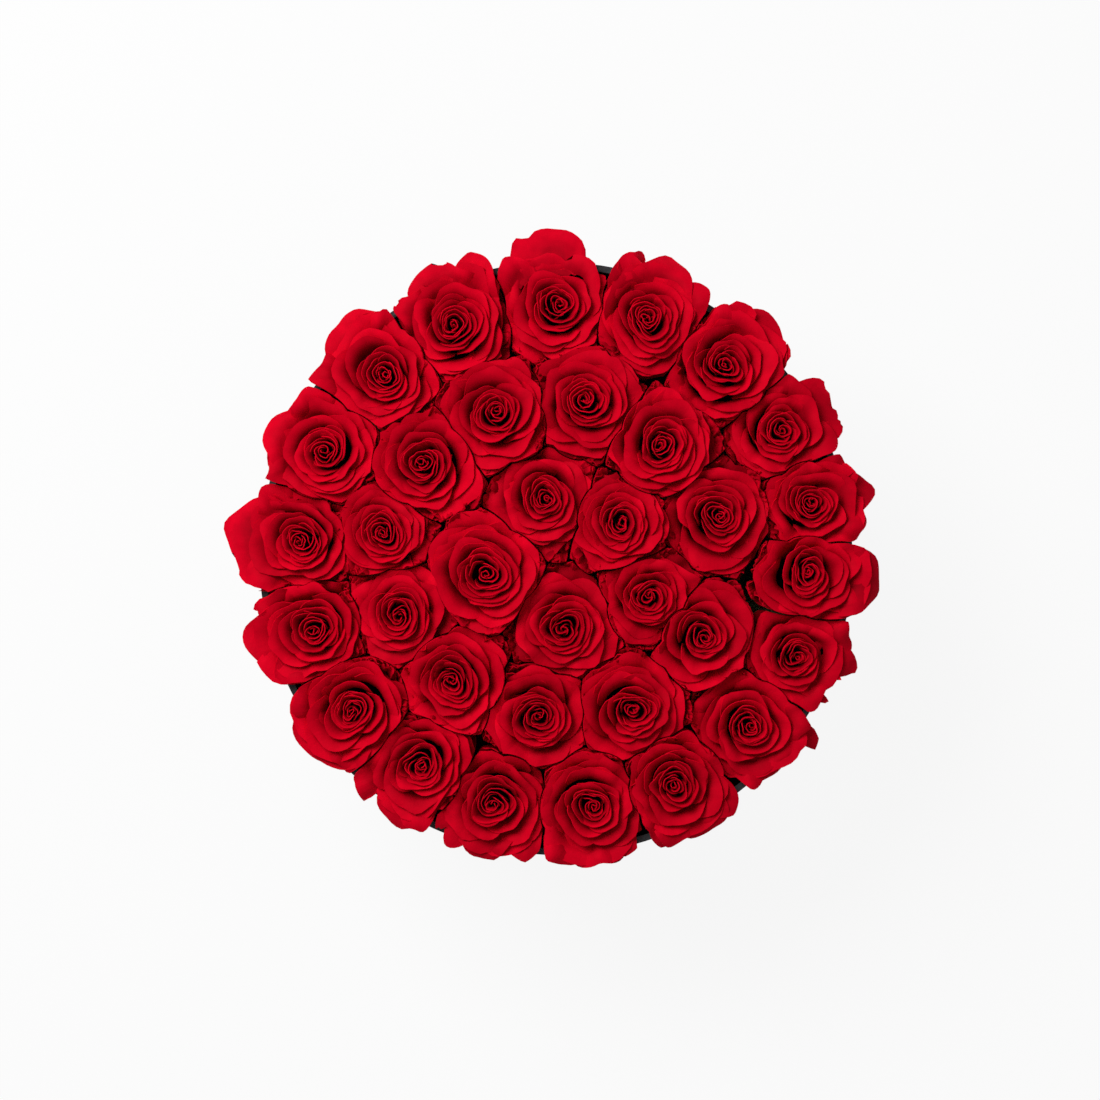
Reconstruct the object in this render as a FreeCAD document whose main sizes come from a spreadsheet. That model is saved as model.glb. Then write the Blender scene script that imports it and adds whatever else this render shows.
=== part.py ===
"""Round flower box: a paper-covered board box filled with roses that stand in a block of dry foam.

Millimetres. +Z is up and the origin is the middle of the face that the box stands on.
Bearings are degrees clockwise from +Y, seen from above.
"""

import FreeCAD, Part
import os
from typing import NamedTuple

import Sketcher

# Driving dimensions, each set by itself
DIMENSIONS = {
    # The board box and its paper
    "box_height": 150.0,
    "board_thickness": 2.5,
    "base_thickness": 3.0,
    "paper_thickness": 0.4,
    "turn_in_depth": 20.0,
    "turn_under_width": 15.0,
    "cover_margin": 4.0,
    "wall_clearance": 1.2,
    # The foam block
    "foam_clearance": 0.5,
    "dome_radius": 900.0,
    "socket_clearance": 0.05,
    "socket_end_gap": 1.0,
    # The stem and calyx of a rose
    "stem_diameter": 5.0,
    "stem_depth": 42.0,
    "stem_point": 4.0,
    "stem_tip_diameter": 2.0,
    "neck_height": 3.0,
    "calyx_height": 7.0,
    "hip_diameter": 12.0,
    "calyx_top_diameter": 10.5,
    "sepal_length": 11.0,
    "sepal_width": 6.0,
    "sepal_droop": 20.0,
    "sepal_thickness": 0.8,
    # The bloom of a rose
    "bloom_diameter": 44.0,
    "small_bloom_diameter": 37.8,
    "bloom_gap": 1.1,
    "bloom_height": 44.0,
    "crown_drop": 3.0,
    "shoulder_height": 33.0,
    "rim_drop": 6.0,
    "heart_radius": 3.6,
    "petal_thickness": 0.9,
    "petal_lap": 2.0,
    "petal_half_angle": 45.0,
    "wide_petal_half_angle": 64.0,
    "petal_round": 13.0,
    "trim_angle": 5.0,
    "claw_width": 4.0,
    "claw_spread": 1.2,
    "root_radius": 2.4,
    "root_spread": 1.5,
    "root_height": 14.0,
    "root_drop": 2.0,
    "core_diameter": 19.0,
    "core_height": 16.0,
    "guard_reach": 33.0,
    "guard_width": 29.0,
    "guard_root_width": 22.0,
    "guard_root_radius": 15.6,
    "guard_root_height": 31.5,
    "guard_height": 40.0,
    "guard_round": 0.7,
}


class Whorl(NamedTuple):
    """One ring of petals, counted from the heart of the bloom outwards."""

    level: int
    petals: int
    turn: float
    half_angle: str


class Seat(NamedTuple):
    """Where one rose stands: its bearing, how far outside its ring it is, and whether it is a small one."""

    bearing: float
    out: float = 0.0
    small: bool = False


WHORLS = (
    Whorl(0, 3, 0.0, "wide_petal_half_angle"),
    Whorl(1, 3, 60.0, "wide_petal_half_angle"),
    Whorl(2, 5, 20.0, "petal_half_angle"),
    Whorl(3, 5, 54.0, "petal_half_angle"),
    Whorl(4, 5, 18.0, "petal_half_angle"),
)
SEPALS = 5

HEART_SEATS = (
    Seat(345.0, -6.5, True),
    Seat(57.0, -1.5, True),
    Seat(112.0, 9.0, True),
    Seat(174.0, -2.0),
    Seat(258.0, -1.0),
)
MIDDLE_SEATS = (
    Seat(339.0),
    Seat(11.5),
    Seat(43.4),
    Seat(75.1),
    Seat(117.0, 4.0, True),
    Seat(153.7),
    Seat(186.2),
    Seat(217.8),
    Seat(249.2),
    Seat(278.4, 1.0, True),
    Seat(307.6),
)
RIM_SEATS = (
    Seat(0.0),
    Seat(21.2),
    Seat(41.6),
    Seat(60.5, small=True),
    Seat(78.0, small=True),
    Seat(95.5, small=True),
    Seat(113.1, small=True),
    Seat(132.0),
    Seat(152.3),
    Seat(172.6),
    Seat(193.4),
    Seat(213.6),
    Seat(233.8),
    Seat(254.0),
    Seat(274.3),
    Seat(294.7),
    Seat(316.4),
    Seat(336.8),
)

# Lengths worked out from the driving dimensions
BLOOM_BASE = "(dims.neck_height + dims.calyx_height)"
LIP_SPREAD = f"(1 + ({BLOOM_BASE} + dims.bloom_height) / dims.dome_radius)"
PITCH = f"((dims.bloom_diameter + dims.bloom_gap) / {LIP_SPREAD})"
HEART_RING = f"({PITCH} / (2 * sin(180 / {len(HEART_SEATS)})))"
MIDDLE_RING = f"({HEART_RING} + {PITCH})"
RIM_RING = f"({MIDDLE_RING} + {PITCH})"

OUTER_LEVEL = WHORLS[-1].level
OUTER_LIP = "((dims.bloom_diameter - dims.petal_thickness) / 2)"
WHORL_STEP = f"(({OUTER_LIP} - dims.heart_radius) / {OUTER_LEVEL})"


def lip_radius(level):
    """How far the lip of a whorl's petals is from the middle of the bloom."""
    return f"(dims.heart_radius + {WHORL_STEP} * {level})"


def lip_height(level):
    """How high a whorl's petals reach above the foot of the bloom: the lips of all whorls make a low crown."""
    middle = OUTER_LEVEL / 2
    return f"(dims.bloom_height - dims.crown_drop * {((level - middle) / middle) ** 2})"


def root_radius(level):
    """How far the foot of a whorl's petals is from the middle of the bloom."""
    return f"(dims.root_radius + dims.root_spread * {level})"


def root_height(level):
    """How high the foot of a whorl's petals is above the foot of the bloom."""
    return f"(dims.root_height - dims.root_drop * {level})"


# The outer petals' radius where they pass the rim of the box, with the lap of their edges
SHOULDER_RADIUS = (
    f"({root_radius(OUTER_LEVEL)} + ({lip_radius(OUTER_LEVEL)} - {root_radius(OUTER_LEVEL)})"
    f" * (dims.shoulder_height - {root_height(OUTER_LEVEL)})"
    f" / ({lip_height(OUTER_LEVEL)} - {root_height(OUTER_LEVEL)}) + dims.petal_lap / 2)"
)
SMALL_SCALE = "(dims.small_bloom_diameter / dims.bloom_diameter)"
SMALL_RISE = f"(({BLOOM_BASE} + dims.bloom_height) * (1 - {SMALL_SCALE}))"
RIM_ABOVE_SEAT = f"({BLOOM_BASE} + dims.shoulder_height - dims.rim_drop)"
INSIDE_RADIUS = (
    f"({RIM_RING} * (1 + {RIM_ABOVE_SEAT} / dims.dome_radius) + {SHOULDER_RADIUS} + dims.wall_clearance)"
)
BOARD_INSIDE = f"({INSIDE_RADIUS} + dims.paper_thickness)"
BOARD_OUTSIDE = f"({BOARD_INSIDE} + dims.board_thickness)"
OUTSIDE_RADIUS = f"({BOARD_OUTSIDE} + dims.paper_thickness)"
BOARD_FOOT = "(2 * dims.paper_thickness)"
BASE_TOP = f"({BOARD_FOOT} + dims.base_thickness)"
FOAM_FOOT = f"({BASE_TOP} + dims.paper_thickness)"
FOAM_RADIUS = f"({INSIDE_RADIUS} - dims.foam_clearance)"
DOME_RISE = f"(dims.dome_radius - sqrt(dims.dome_radius ^ 2 - {RIM_RING} ^ 2))"
FOAM_TOP = f"(dims.box_height - {RIM_ABOVE_SEAT} + {DOME_RISE})"
DOME_CENTRE = f"({FOAM_TOP} - dims.dome_radius)"

doc = FreeCAD.newDocument("flower_box")


def fill_sheet():
    """Write the driving dimensions into the document's sheet."""
    sheet = doc.addObject("Spreadsheet::Sheet", "dims")
    for row, (alias, size) in enumerate(DIMENSIONS.items(), start=1):
        sheet.set(f"A{row}", alias)
        sheet.set(f"B{row}", str(size))
        sheet.setAlias(f"B{row}", alias)
    doc.recompute()
    return sheet


sheet = fill_sheet()


def value(expression):
    """The present value of an expression, as a plain number."""
    found = sheet.evalExpression(expression)
    return float(getattr(found, "Value", found))


def new_body(label):
    """Start a body with a label."""
    body = doc.addObject("PartDesign::Body", label)
    body.Label = label
    return body


def origin_feature(body, role):
    """One of a body's own origin planes or axes."""
    return next(item for item in body.Origin.OriginFeatures if item.Role == role)


def new_sketch(body, name, role, offset=None):
    """Start a sketch on one of the body's origin planes, moved by an offset expression if there is one."""
    sketch = body.newObject("Sketcher::SketchObject", name)
    sketch.AttachmentSupport = [(origin_feature(body, role), "")]
    sketch.MapMode = "FlatFace"
    if offset:
        sketch.setExpression("AttachmentOffset", offset)
    return sketch


def bind(sketch, constraint, expression):
    """Add a sketch constraint whose size is an expression."""
    index = sketch.addConstraint(constraint)
    sketch.setExpression(f"Constraints[{index}]", expression)


def place_point(sketch, edge, end, point):
    """Tie one end of a sketch edge to the sketch's origin by its two coordinates."""
    for kind, expression in zip(("DistanceX", "DistanceY"), point):
        size = value(expression)
        bind(sketch, Sketcher.Constraint(kind, -1, 1, edge, end, size), expression)


def outline(sketch, points, arcs=None):
    """Draw a closed outline through points. An entry in arcs bulges that edge through a third point.

    An arc's entry is the point that it passes through and the expression of its radius.
    """
    arcs = arcs or {}
    corners = [FreeCAD.Vector(value(x), value(y), 0) for x, y in points]
    edges = []
    for number, start in enumerate(corners):
        finish = corners[(number + 1) % len(corners)]
        if number in arcs:
            (x, y), _ = arcs[number]
            edge = Part.Arc(start, FreeCAD.Vector(value(x), value(y), 0), finish)
        else:
            edge = Part.LineSegment(start, finish)
        edges.append(sketch.addGeometry(edge, False))
    for number, edge in enumerate(edges):
        begin = arc_end(sketch, edge, corners[number])
        place_point(sketch, edge, begin, points[number])
        following = edges[(number + 1) % len(edges)]
        meeting = corners[(number + 1) % len(corners)]
        ends = (edge, arc_end(sketch, edge, meeting), following, arc_end(sketch, following, meeting))
        sketch.addConstraint(Sketcher.Constraint("Coincident", *ends))
        if number in arcs:
            _, radius = arcs[number]
            bind(sketch, Sketcher.Constraint("Radius", edge, value(radius)), radius)


def arc_end(sketch, edge, point):
    """Which end of a sketch edge lies at a point: 1 for its start, 2 for its end."""
    distances = [sketch.getPoint(edge, end).distanceToPoint(point) for end in (1, 2)]
    return 1 + distances.index(min(distances))


def revolve(body, name, points, arcs=None):
    """Turn an outline of (radius, height) points about the body's Z axis."""
    sketch = new_sketch(body, f"{name}_profile", "XZ_Plane")
    outline(sketch, points, arcs)
    feature = body.newObject("PartDesign::Revolution", name)
    feature.Profile = sketch
    feature.ReferenceAxis = (sketch, ["V_Axis"])
    feature.Angle = 360
    feature.Refine = False
    return feature


def bulge(half_chord, height):
    """The radius of an arc from the half width of its chord and its height."""
    return f"(({half_chord} ^ 2 + {height} ^ 2) / (2 * {height}))"


# The box


def ring_section(inside, outside, foot, top):
    """The four corners of a ring's or disc's square-cut section."""
    return [(inside, foot), (outside, foot), (outside, top), (inside, top)]


def make_wall_board():
    """The tube of grey board that makes the wall."""
    body = new_body("wall_board")
    top = "(dims.box_height - dims.paper_thickness)"
    revolve(body, "wall_tube", ring_section(BOARD_INSIDE, BOARD_OUTSIDE, BOARD_FOOT, top))
    return body


def make_wall_wrap():
    """The covering paper: up the outside, over the rim and turned in, and turned under at the foot."""
    body = new_body("wall_wrap")
    turned_under = f"({OUTSIDE_RADIUS} - dims.turn_under_width)"
    turned_in = "(dims.box_height - dims.turn_in_depth)"
    under_rim = "(dims.box_height - dims.paper_thickness)"
    points = [
        (turned_under, "dims.paper_thickness"),
        (OUTSIDE_RADIUS, "dims.paper_thickness"),
        (OUTSIDE_RADIUS, "dims.box_height"),
        (INSIDE_RADIUS, "dims.box_height"),
        (INSIDE_RADIUS, turned_in),
        (BOARD_INSIDE, turned_in),
        (BOARD_INSIDE, under_rim),
        (BOARD_OUTSIDE, under_rim),
        (BOARD_OUTSIDE, BOARD_FOOT),
        (turned_under, BOARD_FOOT),
    ]
    revolve(body, "wrap_paper", points)
    return body


def make_wall_lining():
    """The paper inside the wall, from the base up to the covering's turned-in edge."""
    body = new_body("wall_lining")
    top = "(dims.box_height - dims.turn_in_depth)"
    revolve(body, "lining_paper", ring_section(INSIDE_RADIUS, BOARD_INSIDE, BASE_TOP, top))
    return body


def make_base_board():
    """The disc of board that closes the foot of the tube."""
    body = new_body("base_board")
    revolve(body, "base_disc", ring_section("0", BOARD_INSIDE, BOARD_FOOT, BASE_TOP))
    return body


def make_base_cover():
    """The paper disc under the base, over the covering's turned-under edge. The box stands on it."""
    body = new_body("base_cover")
    rim = f"({OUTSIDE_RADIUS} - dims.cover_margin)"
    step = f"({OUTSIDE_RADIUS} - dims.turn_under_width)"
    points = [
        ("0", "0"),
        (rim, "0"),
        (rim, "dims.paper_thickness"),
        (step, "dims.paper_thickness"),
        (step, BOARD_FOOT),
        ("0", BOARD_FOOT),
    ]
    revolve(body, "cover_paper", points)
    return body


def make_base_lining():
    """The paper disc on the inside of the base."""
    body = new_body("base_lining")
    revolve(body, "base_paper", ring_section("0", INSIDE_RADIUS, BASE_TOP, FOAM_FOOT))
    return body


# The roses' places


def seat_placement(ring, seat, turn, depth="0"):
    """The expression of a rose's placement: on its bearing, square to the foam's dome, turned on its stem."""
    lean = f"asin(({ring} + {seat.out}) / dims.dome_radius)"
    return (
        f"placement(vector(0; 0; {DOME_CENTRE}); rotationz(-{seat.bearing}))"
        f" * placement(vector(0; 0; 0); rotationx(-{lean}))"
        f" * placement(vector(0; 0; dims.dome_radius - {depth}); rotationz({turn}))"
    )


RINGS = (
    ("rim_rose", RIM_RING, RIM_SEATS),
    ("middle_rose", MIDDLE_RING, MIDDLE_SEATS),
    ("heart_rose", HEART_RING, HEART_SEATS),
)


def make_foam():
    """The block of dry foam: a domed cake with a socket for each stem."""
    cake = new_body("foam_cake")
    edge = f"({DOME_CENTRE} + sqrt(dims.dome_radius ^ 2 - {FOAM_RADIUS} ^ 2))"
    halfway = f"({FOAM_RADIUS} / 2)"
    over = (halfway, f"({DOME_CENTRE} + sqrt(dims.dome_radius ^ 2 - {halfway} ^ 2))")
    points = [("0", FOAM_FOOT), (FOAM_RADIUS, FOAM_FOOT), (FOAM_RADIUS, edge), ("0", FOAM_TOP)]
    revolve(cake, "cake_block", points, {2: (over, "dims.dome_radius")})

    drills = []
    depth = "(dims.stem_depth + dims.socket_end_gap)"
    for name, ring, seats in RINGS:
        for number, seat in enumerate(seats, start=1):
            drill = doc.addObject("Part::Cylinder", f"{name}_socket_{number:02d}")
            drill.setExpression("Radius", "dims.stem_diameter / 2 + dims.socket_clearance")
            drill.setExpression("Height", f"2 * {depth}")
            drill.setExpression("Placement", seat_placement(ring, seat, 0, depth))
            drills.append(drill)
    sockets = doc.addObject("Part::Compound", "sockets")
    sockets.Links = drills
    foam = doc.addObject("Part::Cut", "floral_foam")
    foam.Base = cake
    foam.Tool = sockets
    foam.Refine = False
    foam.Label = "floral_foam"
    return foam


# The rose


def make_stem(label, top):
    """A stem with its cut point, from the depth of its socket up to its calyx."""
    body = new_body(label)
    radius = "(dims.stem_diameter / 2)"
    tip = "(dims.stem_tip_diameter / 2)"
    points = [
        ("0", "-dims.stem_depth"),
        (tip, "-dims.stem_depth"),
        (radius, "(dims.stem_point - dims.stem_depth)"),
        (radius, top),
        ("0", top),
    ]
    revolve(body, f"{label}_rod", points)
    return body


def make_calyx():
    """The neck and hip under the bloom, with the ring of sepals."""
    body = new_body("calyx")
    neck = "(dims.stem_diameter / 2)"
    top = "(dims.calyx_top_diameter / 2)"
    belly = "(dims.hip_diameter / 2)"
    middle = f"({BLOOM_BASE} - dims.calyx_height / 2)"
    points = [
        ("0", "0"),
        (neck, "0"),
        (neck, "dims.neck_height"),
        (belly, middle),
        (top, BLOOM_BASE),
        ("0", BLOOM_BASE),
    ]
    revolve(body, "hip", points)
    doc.recompute()

    offset = (
        f"placement(vector(0; 0; {middle}); rotationz(0))"
        " * placement(vector(0; 0; 0); rotationy(dims.sepal_droop))"
    )
    sketch = new_sketch(body, "sepal_outline", "XY_Plane", offset)
    start = f"({belly} / 2)"
    finish = f"({belly} + dims.sepal_length)"
    side = "(dims.sepal_width / 2)"
    outline(sketch, [(start, f"-{side}"), (belly, f"-{side}"), (finish, "0"), (belly, side), (start, side)])
    sepal = body.newObject("PartDesign::Pad", "sepal")
    sepal.Profile = sketch
    sepal.setExpression("Length", "dims.sepal_thickness")
    sepal.Midplane = True
    sepal.Refine = False
    doc.recompute()
    ring = body.newObject("PartDesign::PolarPattern", "sepals")
    ring.Originals = [sepal]
    ring.Axis = (origin_feature(body, "Z_Axis"), [""])
    ring.Angle = 360
    ring.Occurrences = SEPALS
    ring.Refine = False
    body.Tip = ring
    return body


def make_petal(name, root, lip, curve, half_angle, claw, round_from):
    """A petal: a strip of a leaning tube's wall, cut to a rounded outline that narrows to its foot.

    root and lip are (radius, height) in the bloom, curve is the tube's radius, half_angle is half of
    what the petal takes of the tube, and round_from is how far below its lip its sides start to close.
    """
    body = new_body(name)
    rise = f"({lip[1]} - {root[1]})"
    spread = f"({lip[0]} - {root[0]})"
    lean = f"atan({spread} / {rise})"
    length = f"sqrt({rise} ^ 2 + {spread} ^ 2)"
    lap = f"(dims.petal_lap * sqrt({lip[0]} / {OUTER_LIP}))"
    axis_x = f"({root[0]} - {curve} * cos({lean}))"
    axis_z = f"({BLOOM_BASE} + {root[1]} + {curve} * sin({lean}))"
    inner = f"({curve} - dims.petal_thickness)"
    half_width = f"({curve} * sin({half_angle}))"
    strip_angle = f"({half_angle} + dims.trim_angle * 1 deg)"
    x_out, y_out = f"{curve} * cos({strip_angle})", f"{curve} * sin({strip_angle})"
    x_in, y_in = f"{inner} * cos({strip_angle})", f"{inner} * sin({strip_angle})"

    strip = new_sketch(
        body, f"{name}_strip", "XY_Plane", f"placement(vector({axis_x}; -{lap}; {axis_z}); rotationy({lean}))"
    )
    outline(
        strip,
        [(x_in, f"-{y_in}"), (x_out, f"-{y_out}"), (x_out, y_out), (x_in, y_in)],
        {1: ((curve, "0"), curve), 3: ((inner, "0"), inner)},
    )
    pad = body.newObject("PartDesign::Pad", f"{name}_wall")
    pad.Profile = strip
    pad.setExpression("Length", length)
    pad.Refine = False
    doc.recompute()

    edge = new_sketch(
        body, f"{name}_outline", "YZ_Plane", f"placement(vector(-{lap}; {axis_z}; {axis_x}); rotationx({lean}))"
    )
    margin = f"({curve} + dims.petal_thickness)"
    below = "-dims.petal_thickness"
    above = f"({length} + dims.petal_thickness)"
    outline(edge, [(f"-{margin}", below), (margin, below), (margin, above), (f"-{margin}", above)])
    closing = f"({length} - {round_from})"
    foot = f"({below} / 2)"
    outline(
        edge,
        [(f"-{claw}", foot), (claw, foot), (half_width, closing), (f"-{half_width}", closing)],
        {2: (("0", length), bulge(half_width, round_from))},
    )
    cut = body.newObject("PartDesign::Pocket", f"{name}_trim")
    cut.Profile = edge
    cut.Type = "ThroughAll"
    cut.Midplane = True
    cut.Refine = False
    doc.recompute()
    return body


def make_blooms():
    """The two blooms at full size: one for the field, and one for the rim with a petal that opens over it."""
    core = new_body("bloom_core")
    foot = "(dims.calyx_top_diameter / 2)"
    swell = "(dims.core_diameter / 2)"
    middle = f"({BLOOM_BASE} + dims.core_height / 2)"
    top = f"({BLOOM_BASE} + dims.core_height)"
    revolve(core, "core_knob", [("0", BLOOM_BASE), (foot, BLOOM_BASE), (swell, middle), ("0", top)])

    pieces = [core]
    for whorl in WHORLS:
        lip = (lip_radius(whorl.level), lip_height(whorl.level))
        root = (root_radius(whorl.level), root_height(whorl.level))
        claw = f"(dims.claw_width / 2 + dims.claw_spread / 2 * {whorl.level})"
        round_from = f"(dims.petal_round * sqrt({lip[0]} / {OUTER_LIP}))"
        half_angle = f"(dims.{whorl.half_angle} * 1 deg)"
        petal = make_petal(f"petal_{whorl.level}", root, lip, lip[0], half_angle, claw, round_from)
        for number in range(whorl.petals):
            angle = whorl.turn + 360 / whorl.petals * number
            pieces.append(turned_copy(petal, f"{petal.Name}_{number}", angle))
    field_bloom = join("field_bloom", pieces)

    root = ("dims.guard_root_radius", "dims.guard_root_height")
    lip = ("dims.guard_reach", "dims.guard_height")
    guard_length = f"sqrt(({lip[0]} - {root[0]}) ^ 2 + ({lip[1]} - {root[1]}) ^ 2)"
    guard = make_petal(
        "guard_petal",
        root,
        lip,
        lip_radius(OUTER_LEVEL),
        f"asin(dims.guard_width / 2 / {lip_radius(OUTER_LEVEL)})",
        "(dims.guard_root_width / 2)",
        f"({guard_length} * dims.guard_round)",
    )
    outward = turned_copy(guard, "guard_petal_out", 90)
    rim_bloom = join("rim_bloom", [field_bloom, outward])
    return field_bloom, rim_bloom


def turned_copy(petal, name, angle):
    """A petal turned about the middle of the bloom."""
    copy = doc.addObject("App::Link", name)
    copy.LinkedObject = petal
    copy.Placement = FreeCAD.Placement(FreeCAD.Vector(), FreeCAD.Rotation(FreeCAD.Vector(0, 0, 1), angle))
    return copy


def join(label, pieces):
    """Fuse pieces into one."""
    fused = doc.addObject("Part::MultiFuse", label)
    fused.Shapes = pieces
    fused.Refine = False
    fused.Label = label
    doc.recompute()
    return fused


def shrink(source, label):
    """A bloom or calyx at the size of a small rose, raised so that its lips are level with the rest."""
    small = doc.addObject("Part::Scale", label)
    small.Base = source
    small.Uniform = True
    small.setExpression("UniformScale", SMALL_SCALE)
    small.setExpression("Placement.Base.z", SMALL_RISE)
    small.Label = label
    return small


GOLDEN_ANGLE = 137.5


def make_roses():
    """All the roses, each one bloom, calyx and stem, set in its socket."""
    stem = make_stem("stem", "0")
    long_stem = make_stem("long_stem", SMALL_RISE)
    calyx = make_calyx()
    field_bloom, rim_bloom = make_blooms()
    small_calyx = shrink(calyx, "small_calyx")
    roses_pieces = {
        (False, False): (field_bloom, calyx, stem),
        (True, False): (rim_bloom, calyx, stem),
        (False, True): (shrink(field_bloom, "small_field_bloom"), small_calyx, long_stem),
        (True, True): (shrink(rim_bloom, "small_rim_bloom"), small_calyx, long_stem),
    }
    roses = []
    for name, ring, seats in RINGS:
        on_rim = ring == RIM_RING
        for number, seat in enumerate(seats, start=1):
            turn = 0 if on_rim else GOLDEN_ANGLE * number % 360
            rose = doc.addObject("Part::Compound", f"{name}_{number:02d}")
            rose.Links = roses_pieces[on_rim, seat.small]
            rose.setExpression("Placement", seat_placement(ring, seat, turn))
            rose.Label = rose.Name
            roses.append(rose)
    return roses


def check(parts):
    """Stop if any object failed or any sub-part's shape isn't sound."""
    for item in doc.Objects:
        if {"Invalid", "Error"} & set(item.State):
            raise RuntimeError(f"{item.Name} failed: {item.State}")
    for part in parts:
        if part.Shape.isNull() or not part.Shape.isValid():
            raise RuntimeError(f"{part.Label} has no sound shape")


def main():
    """Build the flower box and write each sub-part to its own file."""
    parts = [
        make_wall_board(),
        make_wall_wrap(),
        make_wall_lining(),
        make_base_board(),
        make_base_cover(),
        make_base_lining(),
        make_foam(),
        *make_roses(),
    ]
    doc.recompute()
    check(parts)
    os.makedirs("parts", exist_ok=True)
    for part in parts:
        part.Shape.exportStep(f"parts/{part.Label}.step")
    return parts


main()
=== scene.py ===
"""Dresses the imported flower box: its papers, its dry foam and its thirty-four preserved roses.

Sizes are in millimetres and are turned to metres when a mesh is made. Bearings are degrees clockwise from +Y,
seen from above, as in the part's source.
"""

import logging
import math
from dataclasses import dataclass, field
from enum import Enum

import bpy
import numpy as np
from bpy.types import Material, Node, NodeSocket, NodeTree, Object
from mathutils import Matrix, Vector


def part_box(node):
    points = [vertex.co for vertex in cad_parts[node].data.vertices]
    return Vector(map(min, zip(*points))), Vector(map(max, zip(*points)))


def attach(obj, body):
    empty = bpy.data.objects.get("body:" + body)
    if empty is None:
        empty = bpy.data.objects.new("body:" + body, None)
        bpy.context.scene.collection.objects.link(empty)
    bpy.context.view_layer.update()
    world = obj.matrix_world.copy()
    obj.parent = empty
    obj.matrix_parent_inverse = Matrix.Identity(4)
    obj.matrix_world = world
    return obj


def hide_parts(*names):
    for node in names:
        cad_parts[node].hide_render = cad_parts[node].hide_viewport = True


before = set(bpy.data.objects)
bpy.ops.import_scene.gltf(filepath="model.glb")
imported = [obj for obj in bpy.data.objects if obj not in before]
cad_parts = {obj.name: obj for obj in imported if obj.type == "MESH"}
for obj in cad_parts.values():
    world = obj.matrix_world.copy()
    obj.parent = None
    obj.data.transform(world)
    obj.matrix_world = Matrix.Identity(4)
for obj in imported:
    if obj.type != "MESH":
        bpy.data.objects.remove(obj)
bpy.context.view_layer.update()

log = logging.getLogger("flower_box")

Array = np.ndarray
Range = tuple[float, float]
Curve = tuple[float, ...]
Place = tuple[float, float, float]

MM = 0.001
GOLDEN_ANGLE = math.radians(137.508)
CROWN_HEIGHT = 54.0


class Ring(Enum):
    """The three rings of roses, with the radius of each at the foam's surface."""

    RIM = 121.29
    MIDDLE = 78.74
    HEART = 36.19


class Grade(Enum):
    """The two sizes of rose head, as a share of the full one."""

    FULL = 1.0
    SMALL = 0.859

    @property
    def rise(self) -> float:
        """How far a head of this size is raised, so that all crowns are level."""
        return CROWN_HEIGHT * (1 - self.value)


def linear(colour: str) -> tuple[float, float, float, float]:
    """Turns an sRGB hex colour to the linear values that a socket takes.

    Args:
        colour: the colour, such as "#c8001b".

    Returns:
        Red, green, blue and an alpha of 1.
    """
    parts = [int(colour[i : i + 2], 16) / 255 for i in (1, 3, 5)]
    red, green, blue = [c / 12.92 if c <= 0.04045 else ((c + 0.055) / 1.055) ** 2.4 for c in parts]
    return red, green, blue, 1.0


def add_node(
    tree: NodeTree,
    kind: str,
    inputs: dict | None = None,
    stops: tuple[tuple[float, str], ...] = (),
    **settings,
) -> Node:
    """Adds a node with its settings, and sets or links its inputs.

    Args:
        tree: the node tree.
        kind: the node's type name, without "ShaderNode".
        inputs: for each input, its value, the output that it takes or the node whose first output it takes.
        stops: for a colour ramp, its places and hex colours in rising order.
        settings: the node's own properties.

    Returns:
        The new node.
    """
    node = tree.nodes.new("ShaderNode" + kind)
    for name, value in settings.items():
        setattr(node, name, value)
    for key, value in (inputs or {}).items():
        value = value.outputs[0] if isinstance(value, Node) else value
        if isinstance(value, NodeSocket):
            tree.links.new(value, node.inputs[key])
        else:
            node.inputs[key].default_value = value
    for place, _ in stops[1:-1]:
        node.color_ramp.elements.new(place)
    for number, (place, colour) in enumerate(stops):
        element = node.color_ramp.elements[number]
        element.position = place
        element.color = linear(colour)
    return node


def plain_rays(tree: NodeTree) -> Node:
    """Tells the rays of the eye, of gloss and of glass, which see a plain background, from those of light.

    Args:
        tree: the node tree.

    Returns:
        A node that gives 1 for a ray that sees and 0 for a ray that lights.
    """
    path = add_node(tree, "LightPath").outputs
    seen = add_node(tree, "Math", {0: path["Is Camera Ray"], 1: path["Is Glossy Ray"]}, operation="MAXIMUM")
    rays = {0: seen, 1: path["Is Transmission Ray"]}
    return add_node(tree, "Math", rays, operation="MAXIMUM")


def deselect() -> None:
    """Leaves object mode with nothing selected."""
    if bpy.context.object is not None and bpy.context.object.mode != "OBJECT":
        bpy.ops.object.mode_set(mode="OBJECT")
    bpy.ops.object.select_all(action="DESELECT")


def pick(obj: Object) -> None:
    """Makes one object the only selected and active one.

    Args:
        obj: the object.
    """
    deselect()
    obj.select_set(True)
    bpy.context.view_layer.objects.active = obj


def apply_modifier(obj: Object, kind: str, **settings) -> None:
    """Adds a modifier to an object and applies it.

    Args:
        obj: the object.
        kind: the modifier's type.
        settings: its properties.
    """
    pick(obj)
    modifier = obj.modifiers.new(kind.lower(), kind)
    for name, value in settings.items():
        setattr(modifier, name, value)
    bpy.ops.object.modifier_apply(modifier=modifier.name)


def new_object(name: str, points: Array, faces: Array) -> Object:
    """Makes a mesh object from points in millimetres.

    Args:
        name: the piece's name.
        points: one row per vertex.
        faces: one row of vertex numbers per face.

    Returns:
        The object, linked to the scene.
    """
    mesh = bpy.data.meshes.new(name)
    mesh.from_pydata((points * MM).tolist(), [], faces.tolist())
    obj = bpy.data.objects.new(name, mesh)
    bpy.context.collection.objects.link(obj)
    return obj


def smooth_step(low: float, high: float, value: Array | float) -> Array:
    """Goes smoothly from 0 at low to 1 at high.

    Args:
        low: where the step starts.
        high: where it ends.
        value: the values to map.

    Returns:
        The mapped values.
    """
    t = np.clip((value - low) / (high - low), 0.0, 1.0)
    return t * t * (3 - 2 * t)


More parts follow.
